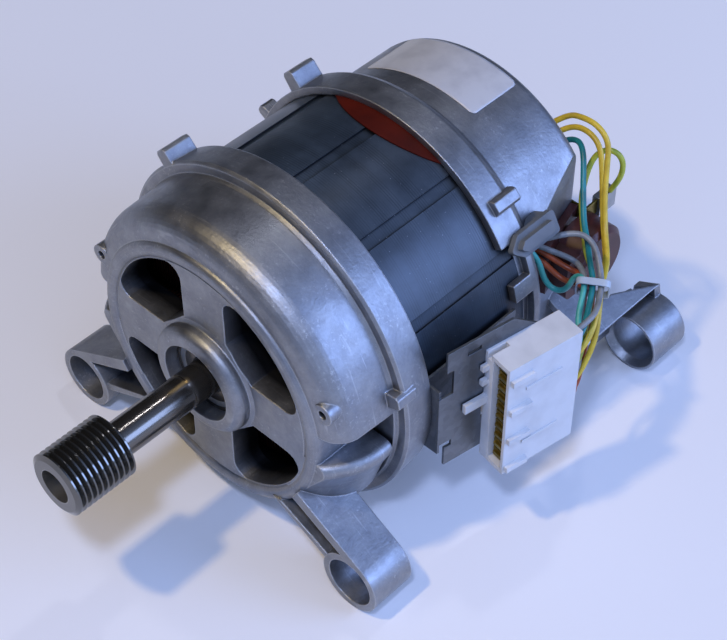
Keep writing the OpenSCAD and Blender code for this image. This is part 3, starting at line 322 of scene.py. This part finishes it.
def lacquered_laminations():
    """Stacked sheet steel under dark lacquer: groups of rings where sheets meet, painted shade in the grooves
    and dust.
    """
    material, tree, shader, place = start("lacquered_laminations", "#3a4450", 0.3, 0.34)
    smear = add(tree, "ShaderNodeTexNoise", [
        ("Vector", place), ("Scale", per(18.2)), ("Detail", 6), ("Roughness", 0.6)])
    tone = add(tree, "ShaderNodeValToRGB", [("Fac", smear.outputs["Fac"])],
               stops=[(0.3, "#2c353f"), (0.55, "#3b4652"), (0.78, "#495562")])

    # Real sheets are 0.5 mm thick, and these are 1 mm so that they show
    sheets = add(tree, "ShaderNodeTexWave", [
        ("Vector", place), ("Scale", BAND_PERIOD * per(1)), ("Distortion", 1.5), ("Detail", 2),
        ("Detail Scale", 0.02)], wave_type="BANDS", bands_direction="Y")
    lines = add(tree, "ShaderNodeMapRange", [
        ("Value", sheets.outputs["Fac"]), ("From Min", 0.25), ("From Max", 0.0), ("To Max", 0.85)])
    along = add(tree, "ShaderNodeMapping", [("Vector", place), ("Scale", (per(167), per(4.5), per(167)))])
    bands = add(tree, "ShaderNodeTexNoise", [("Vector", along.outputs[0]), ("Scale", 1), ("Detail", 3)])
    groups = add(tree, "ShaderNodeMapRange", [
        ("Value", bands.outputs["Fac"]), ("From Min", 0.42), ("From Max", 0.62)])
    shown = add(tree, "ShaderNodeMath", [(0, lines.outputs["Result"]), (1, groups.outputs["Result"])],
                operation="MULTIPLY")
    ringed = add(tree, "ShaderNodeMix", [
        (SHARE, shown.outputs[0]), (FIRST, tone.outputs["Color"]), (SECOND, "#1d242b")], data_type="RGBA")

    # Painted shade in the grooves, from occlusion, and specks of dust
    corner = add(tree, "ShaderNodeAmbientOcclusion", [("Distance", 3 * MM)], samples=8)
    painted_shade = add(tree, "ShaderNodeMapRange", [
        ("Value", corner.outputs["AO"]), ("From Min", 0.93), ("From Max", 0.6), ("To Max", 0.9)])
    shaded = add(tree, "ShaderNodeMix", [
        (SHARE, painted_shade.outputs["Result"]), (FIRST, ringed.outputs[MIXED]), (SECOND, "#0a0c0f")],
        data_type="RGBA")
    specks = add(tree, "ShaderNodeTexNoise", [("Vector", place), ("Scale", per(0.77)), ("Detail", 1)])
    dust = add(tree, "ShaderNodeMapRange", [
        ("Value", specks.outputs["Fac"]), ("From Min", 0.76), ("From Max", 0.8), ("To Max", 0.6)])
    dusty = add(tree, "ShaderNodeMix", [
        (SHARE, dust.outputs["Result"]), (FIRST, shaded.outputs[MIXED]), (SECOND, "#8d949c")],
        data_type="RGBA")
    tree.links.new(dusty.outputs[MIXED], shader.inputs["Base Color"])

    rough = add(tree, "ShaderNodeMapRange", [
        ("Value", smear.outputs["Fac"]), ("To Min", 0.24), ("To Max", 0.46)])
    tree.links.new(rough.outputs["Result"], shader.inputs["Roughness"])
    bump = add(tree, "ShaderNodeBump", [
        ("Height", sheets.outputs["Fac"]), ("Strength", 0.06), ("Distance", 0.1 * MM)])
    tree.links.new(bump.outputs["Normal"], shader.inputs["Normal"])
    return material


def ground_steel(name, colour, smooth, coarse, recess, recess_r):
    """Ground steel: satin metal with faint rings left by the tool, and a recess in its front end whose paler
    colour is painted light.

    Real tool marks are finer than the render shows, so they are drawn 0.4 mm apart.
    """
    material, tree, shader, place = start(name, colour, 0.92, 0.2)
    stretch = add(tree, "ShaderNodeMapping", [("Vector", place), ("Scale", (per(125), per(0.4), per(125)))])
    rings = add(tree, "ShaderNodeTexNoise", [("Vector", stretch.outputs[0]), ("Scale", 1), ("Detail", 2)])
    # The recess is painted paler: painted light that stands in for the light its bore catches
    bored = inside(tree, place, recess_r, -2 * MM, -1 * MM, 9.5 * MM)
    recess_painted_light = add(tree, "ShaderNodeMix", [(SHARE, bored), (FIRST, colour), (SECOND, recess)], data_type="RGBA")
    tree.links.new(recess_painted_light.outputs[MIXED], shader.inputs["Base Color"])
    rough = add(tree, "ShaderNodeMapRange", [
        ("Value", rings.outputs["Fac"]), ("To Min", smooth), ("To Max", coarse)])
    dull = add(tree, "ShaderNodeMath", [(0, bored), (1, 0.12), (2, rough.outputs["Result"])],
               operation="MULTIPLY_ADD")
    tree.links.new(dull.outputs[0], shader.inputs["Roughness"])
    bump = add(tree, "ShaderNodeBump", [
        ("Height", rings.outputs["Fac"]), ("Strength", 0.04), ("Distance", 0.05 * MM)])
    tree.links.new(bump.outputs["Normal"], shader.inputs["Normal"])
    return material


def stamped_metal(name, light, dark, roughness):
    """Stamped, turned or plated metal: faint spangle 2.5 mm across, light clouding and softened cut edges."""
    material, tree, shader, place = start(name, light, 0.9, roughness)
    spangle = add(tree, "ShaderNodeTexVoronoi", [("Vector", place), ("Scale", per(2.5))])
    cloud = add(tree, "ShaderNodeTexNoise", [("Vector", place), ("Scale", per(11.1)), ("Detail", 4)])
    blend = add(tree, "ShaderNodeMath", [(0, spangle.outputs["Color"]), (1, cloud.outputs["Fac"])],
                operation="MULTIPLY")
    tone = add(tree, "ShaderNodeValToRGB", [("Fac", blend.outputs[0])], stops=[(0.1, dark), (0.7, light)])
    tree.links.new(tone.outputs["Color"], shader.inputs["Base Color"])
    soft = add(tree, "ShaderNodeBevel", [("Radius", 0.25 * MM)], samples=6)
    tree.links.new(soft.outputs["Normal"], shader.inputs["Normal"])
    return material


def moulded_plastic(name, colour, dark, roughness):
    """Moulded plastic: even colour with slight clouding, a spark-eroded grain and soft edges.

    The real grain is about 0.1 mm wide and is drawn 0.6 mm wide so that it shows.
    """
    material, tree, shader, place = start(name, colour, 0, roughness)
    cloud = add(tree, "ShaderNodeTexNoise", [("Vector", place), ("Scale", per(9.1)), ("Detail", 5)])
    tone = add(tree, "ShaderNodeValToRGB", [("Fac", cloud.outputs["Fac"])],
               stops=[(0.3, dark), (0.6, colour)])
    tree.links.new(tone.outputs["Color"], shader.inputs["Base Color"])
    soft = add(tree, "ShaderNodeBevel", [("Radius", 0.4 * MM)], samples=6)
    grain = add(tree, "ShaderNodeTexNoise", [("Vector", place), ("Scale", per(0.625)), ("Detail", 2)])
    bump = add(tree, "ShaderNodeBump", [
        ("Height", grain.outputs["Fac"]), ("Strength", 0.12), ("Distance", 0.1 * MM),
        ("Normal", soft.outputs["Normal"])])
    tree.links.new(bump.outputs["Normal"], shader.inputs["Normal"])
    return material


def wire_insulation(name, colour, dark):
    """Extruded PVC: a smooth satin skin, a little darker in places from handling."""
    material, tree, shader, place = start(name, colour, 0, 0.38)
    smear = add(tree, "ShaderNodeTexNoise", [("Vector", place), ("Scale", per(6.25)), ("Detail", 3)])
    tone = add(tree, "ShaderNodeValToRGB", [("Fac", smear.outputs["Fac"])],
               stops=[(0.35, dark), (0.6, colour)])
    tree.links.new(tone.outputs["Color"], shader.inputs["Base Color"])
    return material


def varnished_copper(name, direction):
    """Varnished copper wire: close brown strands, drawn 1.4 mm apart so that they show, with painted shade
    between them.
    """
    strand, strand_gap_shade = "#52291a", "#1f100a"
    material, tree, shader, place = start(name, strand, 0.45, 0.36)
    strands = add(tree, "ShaderNodeTexWave", [
        ("Vector", place), ("Scale", BAND_PERIOD * per(1.4)), ("Distortion", 2)],
        wave_type="BANDS", bands_direction=direction)
    tone = add(tree, "ShaderNodeValToRGB", [("Fac", strands.outputs["Fac"])],
               stops=[(0.15, strand_gap_shade), (0.7, strand)])
    tree.links.new(tone.outputs["Color"], shader.inputs["Base Color"])
    bump = add(tree, "ShaderNodeBump", [
        ("Height", strands.outputs["Fac"]), ("Strength", 0.6), ("Distance", 0.5 * MM)])
    tree.links.new(bump.outputs["Normal"], shader.inputs["Normal"])
    return material


def polyester_film():
    """Red polyester film: thin, nearly without gloss and faintly cloudy."""
    material, tree, shader, place = start("red_polyester_film", "#46110b", 0, 0.55)
    shader.inputs["Specular IOR Level"].default_value = 0.15
    cloud = add(tree, "ShaderNodeTexNoise", [("Vector", place), ("Scale", per(16.7)), ("Detail", 4)])
    tone = add(tree, "ShaderNodeValToRGB", [("Fac", cloud.outputs["Fac"])],
               stops=[(0.3, "#3a0d07"), (0.7, "#561508")])
    tree.links.new(tone.outputs["Color"], shader.inputs["Base Color"])
    return material


def coated_label_stock():
    """Coated label stock: white, satin, with faint handling marks."""
    material, tree, shader, place = start("coated_label_stock", "#c6c7c9", 0, 0.3)
    cloud = add(tree, "ShaderNodeTexNoise", [("Vector", place), ("Scale", per(7.7)), ("Detail", 5)])
    tone = add(tree, "ShaderNodeValToRGB", [("Fac", cloud.outputs["Fac"])],
               stops=[(0.3, "#b0b1b5"), (0.6, "#bfc0c3")])
    tree.links.new(tone.outputs["Color"], shader.inputs["Base Color"])
    return material


CAST = die_cast_aluminium()
# Shaft and bearings: satin grey with soft, long reflections
STEEL = ground_steel("ground_steel", "#726d66", 0.13, 0.25, "#726d66", 0)
# Pulley: sharper glints along its ribs, and a recess painted paler as painted light
PULLEY_STEEL = ground_steel("turned_pulley_steel", "#71706c", 0.07, 0.17, "#b0aea8", 6.8 * MM)
LAMINATIONS = lacquered_laminations()
# Zinc: pale on shields and terminals, a little rougher on the bracket and painted darker there as painted
# shade, tinted yellow on the screws
ZINC = stamped_metal("zinc_plated_sheet", "#b4b8bb", "#a3a7aa", 0.34)
SHADED_ZINC = stamped_metal("shaded_bracket_sheet", "#7f848a", "#6b7076", 0.38)
YELLOW_ZINC = stamped_metal("yellow_zinc_screw", "#a89c80", "#857a60", 0.4)
# Brass and copper: warm metals, a little tarnished
BRASS = stamped_metal("stamped_brass", "#a08c46", "#7a6a31", 0.36)
COPPER = stamped_metal("turned_copper", "#b87350", "#8f5438", 0.35)
# Stacked core of the rotor: dark, oiled steel
CORE = stamped_metal("dull_core_steel", "#5d6064", "#45474b", 0.5)
COIL_WIRE = varnished_copper("varnished_copper_coil", "X")
ROTOR_WIRE = varnished_copper("varnished_copper_rotor", "Y")
FILM = polyester_film()
WHITE = moulded_plastic("white_polyester_moulding", "#d4d6d9", "#c8cacd", 0.45)
# Phenolic: dark, dense and a little glossier than nylon of the same age
MAROON = moulded_plastic("maroon_phenolic", "#4a2422", "#381a19", 0.42)
BROWN = moulded_plastic("brown_phenolic", "#53321f", "#3f2517", 0.5)
GREY = moulded_plastic("grey_nylon", "#666b70", "#585d62", 0.5)
NYLON = moulded_plastic("natural_nylon", "#b4c0cb", "#a2afbb", 0.3)
# Pressed carbon, with a grain like that of a moulding: black and matt
CARBON = moulded_plastic("pressed_carbon", "#2b2b2d", "#1f1f21", 0.6)
LABEL = coated_label_stock()
INSULATION = {
    "wire_teal": wire_insulation("teal_pvc", "#1b7f84", "#14666b"),
    "wire_light_teal": wire_insulation("light_teal_pvc", "#4fb5ac", "#3c9a93"),
    "wire_grey_upper": wire_insulation("grey_pvc", "#85898c", "#6c7073"),
    "wire_orange_upper": wire_insulation("orange_brown_pvc", "#b0532c", "#8c3f20"),
    "wire_yellow_upper": wire_insulation("yellow_pvc", "#d8bb3c", "#bd9f2a"),
    "wire_earth": wire_insulation("yellow_green_pvc", "#b2b83c", "#8f9a2c"),
}
INSULATION["wire_grey_lower"] = INSULATION["wire_grey_upper"]
INSULATION["wire_orange_lower"] = INSULATION["wire_orange_upper"]
INSULATION["wire_yellow_lower"] = INSULATION["wire_yellow_upper"]

FINISHES = {
    CAST: ["front_cover", "rear_cover"],
    PULLEY_STEEL: ["pulley"],
    STEEL: ["shaft", "front_bearing_inner", "front_bearing_outer", "front_bearing_balls",
            "rear_bearing_inner", "rear_bearing_outer", "rear_bearing_balls"],
    LAMINATIONS: ["stator_core"],
    SHADED_ZINC: ["connector_bracket"],
    ZINC: ["front_bearing_shields", "rear_bearing_shields", "front_bearing_cage", "rear_bearing_cage",
           "earth_terminal"],
    YELLOW_ZINC: ["clamp_screws"],
    BRASS: ["connector_terminals", "brush_guide_right", "brush_guide_left", "earth_tab"],
    COPPER: ["commutator_bars"],
    CORE: ["armature_core"],
    COIL_WIRE: ["field_coil_top", "field_coil_bottom"],
    ROTOR_WIRE: ["armature_winding"],
    FILM: ["insulation_film"],
    WHITE: ["connector_housing"],
    MAROON: ["brush_holder_right", "brush_holder_left"],
    BROWN: ["commutator_hub", "tacho_coil"],
    GREY: ["lead_clip", "tacho_cover"],
    NYLON: ["cable_tie"],
    CARBON: ["carbon_brush_right", "carbon_brush_left", "tacho_magnet"],
}


def finish(piece, material):
    """One material over a whole piece."""
    piece.data.materials.clear()
    piece.data.materials.append(material)


for material, names in FINISHES.items():
    for name in names:
        finish(nodes[name], material)
for name, wire in wires.items():
    finish(wire, INSULATION[name])


# Pieces made here

def mesh_piece(name, vertices, faces, material):
    """A smooth mesh object at the origin from its points and faces."""
    data = bpy.data.meshes.new(name)
    data.from_pydata(vertices, [], faces)
    data.validate()
    data.shade_smooth()
    piece = bpy.data.objects.new(name, data)
    scene.collection.objects.link(piece)
    finish(piece, material)
    return piece


def bare_label():
    """The label's place on the rear drum: a thin bare sheet with rounded corners."""
    radius = 60.26 * MM
    thickness = 0.15 * MM
    corner = 2 * MM
    low_y, high_y = 186.4 * MM, 210.8 * MM
    low_turn, high_turn = math.radians(72.4), math.radians(125)
    rows, columns = 24, 48
    vertices, faces = [], []
    for i in range(rows + 1):
        y = low_y + (high_y - low_y) * i / rows
        edge = min(y - low_y, high_y - y)
        inset = corner - math.sqrt(corner ** 2 - (corner - edge) ** 2) if edge < corner else 0
        row_start = low_turn + inset / radius
        row_end = high_turn - inset / radius
        for k in range(columns + 1):
            turn = row_start + (row_end - row_start) * k / columns
            vertices.append((radius * math.cos(turn), y, radius * math.sin(turn)))
    for i in range(rows):
        for k in range(columns):
            first = i * (columns + 1) + k
            above = first + columns + 1
            faces.append((first, above, above + 1, first + 1))
    label = mesh_piece("bare_label", vertices, faces, LABEL)
    wall = label.modifiers.new("sheet", "SOLIDIFY")
    wall.thickness = thickness
    wall.offset = 1
    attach(label, "motor_frame")


def new_tree(name, inputs):
    """An empty geometry tree with its named inputs, and the node that gives their values."""
    tree = bpy.data.node_groups.new(name, "GeometryNodeTree")
    for label, kind in inputs:
        tree.interface.new_socket(label, in_out="INPUT", socket_type="NodeSocket" + kind)
    tree.interface.new_socket("Geometry", in_out="OUTPUT", socket_type="NodeSocketGeometry")
    return tree, tree.nodes.new("NodeGroupInput").outputs


def close_tree(tree, shape, given):
    """Ends a tree: the shape is put in its place, made real and given its material."""
    moved = add(tree, "GeometryNodeTransform", [
        ("Geometry", shape), ("Translation", given["Place"]), ("Rotation", given["Turn"])])
    real = add(tree, "GeometryNodeRealizeInstances", [("Geometry", moved.outputs[0])])
    painted = add(tree, "GeometryNodeSetMaterial", [
        ("Geometry", real.outputs[0]), ("Material", given["Finish"])])
    add(tree, "NodeGroupOutput", [("Geometry", painted.outputs[0])])
    return tree


def spring_tree():
    """Round wire along a spiral of even pitch."""
    tree, given = new_tree("wound_spring", [
        ("Turns", "Float"), ("Coil radius", "Float"), ("Wire radius", "Float"), ("Length", "Float"),
        ("Place", "Vector"), ("Turn", "Vector"), ("Finish", "Material")])
    path = add(tree, "GeometryNodeCurveSpiral", [
        ("Resolution", 20), ("Rotations", given["Turns"]), ("Height", given["Length"]),
        ("Start Radius", given["Coil radius"]), ("End Radius", given["Coil radius"])])
    profile = add(tree, "GeometryNodeCurvePrimitiveCircle", [
        ("Resolution", 8), ("Radius", given["Wire radius"])])
    wire = add(tree, "GeometryNodeCurveToMesh", [
        ("Curve", path.outputs[0]), ("Profile Curve", profile.outputs[0]), ("Fill Caps", True)])
    soft = add(tree, "GeometryNodeSetShadeSmooth", [("Geometry", wire.outputs[0])])
    return close_tree(tree, soft.outputs[0], given)


def row_tree():
    """A straight row of equal blocks."""
    tree, given = new_tree("block_row", [
        ("Count", "Int"), ("Step", "Vector"), ("Size", "Vector"), ("Place", "Vector"), ("Turn", "Vector"),
        ("Finish", "Material")])
    block = add(tree, "GeometryNodeMeshCube", [("Size", given["Size"])])
    points = add(tree, "GeometryNodeMeshLine", [("Count", given["Count"]), ("Offset", given["Step"])])
    row = add(tree, "GeometryNodeInstanceOnPoints", [
        ("Points", points.outputs[0]), ("Instance", block.outputs[0])])
    return close_tree(tree, row.outputs[0], given)


def grown(name, tree, values):
    """A plain mesh object grown by a tree from its named values."""
    piece = bpy.data.objects.new(name, bpy.data.meshes.new(name))
    scene.collection.objects.link(piece)
    maker = piece.modifiers.new("grow", "NODES")
    maker.node_group = tree
    for item in tree.interface.items_tree:
        if item.in_out == "INPUT":
            maker[item.identifier] = values[item.name]
    shape = piece.evaluated_get(bpy.context.evaluated_depsgraph_get())
    data = bpy.data.meshes.new_from_object(shape)
    piece.modifiers.remove(maker)
    piece.data = data
    return piece


def brush_springs():
    """A wound spring between each brush and its holder."""
    tree = spring_tree()
    brush_y = 200.5 * MM
    brush_end, spring_end, holder_seat = 50.25 * MM, 62.35 * MM, 62.7 * MM
    for side, sign in (("right", 1), ("left", -1)):
        spring = grown("wound_spring_" + side, tree, {
            "Turns": 7.0, "Coil radius": 2.45 * MM, "Wire radius": 0.35 * MM,
            "Length": spring_end - brush_end, "Place": (sign * brush_end, brush_y, 0),
            "Turn": (0, sign * math.pi / 2, 0), "Finish": STEEL})
        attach(spring, "motor_frame")
        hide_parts("brush_spring_" + side)
        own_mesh(spring)


# The connector's own frame, as in the solids: its turn about the upright, and its place in millimetres
CONNECTOR_TURN = math.radians(-10.3)
CONNECTOR_PLACE = Vector((76, 129.3, 0))
CONTACT_COUNT = 10
CONTACT_STEP = 5 * MM
RIB_COUNT = 4
RIB_STEP = 15 * MM


def in_connector(across, deep, height):
    """A place in the connector's own frame, in millimetres, as metres in the part's frame."""
    turned = Matrix.Rotation(CONNECTOR_TURN, 3, "Z") @ Vector((across, deep, height))
    return (turned + CONNECTOR_PLACE) * MM


def connector_rows():
    """The brass tongues inside the connector's sleeves, and the short ribs on its outer face."""
    tree = row_tree()
    turn = (0, 0, CONNECTOR_TURN)
    tongues = grown("contact_tongues", tree, {
        "Count": CONTACT_COUNT, "Step": (0, 0, -CONTACT_STEP), "Size": Vector((5, 12, 1.5)) * MM,
        "Place": in_connector(7.95, 7.6, 17.7), "Turn": turn, "Finish": BRASS})
    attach(tongues, "motor_frame")
    ribs = grown("housing_ribs", tree, {
        "Count": RIB_COUNT, "Step": (0, 0, -RIB_STEP), "Size": Vector((3, 9.5, 2.4)) * MM,
        "Place": in_connector(13.1, 5.5, 16), "Turn": turn, "Finish": WHITE})
    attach(ribs, "motor_frame")


bare_label()
brush_springs()
connector_rows()

# Floor and light

FLOOR_Z = -66.1 * MM
FLOOR_HALF = 6
LAMP_AIM = Vector((0, 0.12, 0))
# Each lamp's name, place, power in watts, width and colour
LAMPS = [
    ("warm_lamp", (-0.14, -0.4, 1.08), 4.8, 0.07, "#ffdf9c"),
    ("blue_lamp", (0.4, -0.42, 1.12), 6.6, 0.12, "#b8ccff"),
    ("ceiling_lamp", (-0.11, 0.49, 0.99), 0.7, 0.05, "#eef0ff"),
    ("window_lamp", (1.12, 0.76, 0.56), 10, 0.7, "#9cbaff"),
]


def pale_paper():
    """Matt paper: near white, with a glow far out that only the camera, mirrors and glass see."""
    material, tree, shader, place = start("pale_paper_floor", "#ededf0", 0, 0.9)
    reach = add(tree, "ShaderNodeVectorMath", [(0, place)], operation="LENGTH")
    glow = add(tree, "ShaderNodeMapRange", [
        ("Value", reach.outputs["Value"]), ("From Min", 0.3), ("From Max", 1.8), ("To Min", 0.06),
        ("To Max", 0.62)])
    rays = add(tree, "ShaderNodeLightPath").outputs
    direct = add(tree, "ShaderNodeMath", [(0, rays["Is Camera Ray"]), (1, rays["Is Glossy Ray"])],
                 operation="ADD")
    seen = add(tree, "ShaderNodeMath", [(0, direct.outputs[0]), (1, rays["Is Transmission Ray"])],
               operation="ADD")
    shown = add(tree, "ShaderNodeMath", [(0, seen.outputs[0]), (1, glow.outputs["Result"])],
                operation="MULTIPLY")
    shader.inputs["Emission Color"].default_value = linear("#d5e0f8")
    tree.links.new(shown.outputs[0], shader.inputs["Emission Strength"])
    return material


def lay_floor():
    """A floor of pale paper that runs out of sight."""
    corners = [(-FLOOR_HALF, -FLOOR_HALF), (FLOOR_HALF, -FLOOR_HALF), (FLOOR_HALF, FLOOR_HALF),
               (-FLOOR_HALF, FLOOR_HALF)]
    vertices = [(x, y, FLOOR_Z) for x, y in corners]
    floor = mesh_piece("studio_floor", vertices, [(0, 1, 2, 3)], pale_paper())


def light_room():
    """A dim room that brightens towards a window on the right, and looks pale where the camera sees it."""
    world = bpy.data.worlds.new("studio_world")
    scene.world = world
    world.use_nodes = True
    tree = world.node_tree
    background = tree.nodes["Background"]
    direction = add(tree, "ShaderNodeTexCoord").outputs["Generated"]
    axes = add(tree, "ShaderNodeSeparateXYZ", [("Vector", direction)])
    side = add(tree, "ShaderNodeMapRange", [
        ("Value", axes.outputs["X"]), ("From Min", -0.7), ("From Max", 0.9)])
    room = add(tree, "ShaderNodeValToRGB", [("Fac", side.outputs["Result"])],
               stops=[(0.0, "#22252a"), (0.45, "#394050"), (0.75, "#8ea5d8"), (1.0, "#bdd2ff")])
    rays = add(tree, "ShaderNodeLightPath").outputs
    shown = add(tree, "ShaderNodeMix", [
        (SHARE, rays["Is Camera Ray"]), (FIRST, room.outputs["Color"]), (SECOND, "#c3cfea")],
        data_type="RGBA")
    tree.links.new(shown.outputs[MIXED], background.inputs["Color"])
    background.inputs["Strength"].default_value = 0.95


def hang_lamps():
    """A warm lamp from the front left, cooler ones above and a wide one at the window."""
    for name, place, power, width, colour in LAMPS:
        data = bpy.data.lights.new(name, "AREA")
        data.energy = power
        data.size = width
        data.color = linear(colour)[:3]
        lamp = bpy.data.objects.new(name, data)
        scene.collection.objects.link(lamp)
        lamp.location = place
        lamp.rotation_euler = (LAMP_AIM - Vector(place)).to_track_quat("-Z", "Y").to_euler()


lay_floor()
light_room()
hang_lamps()
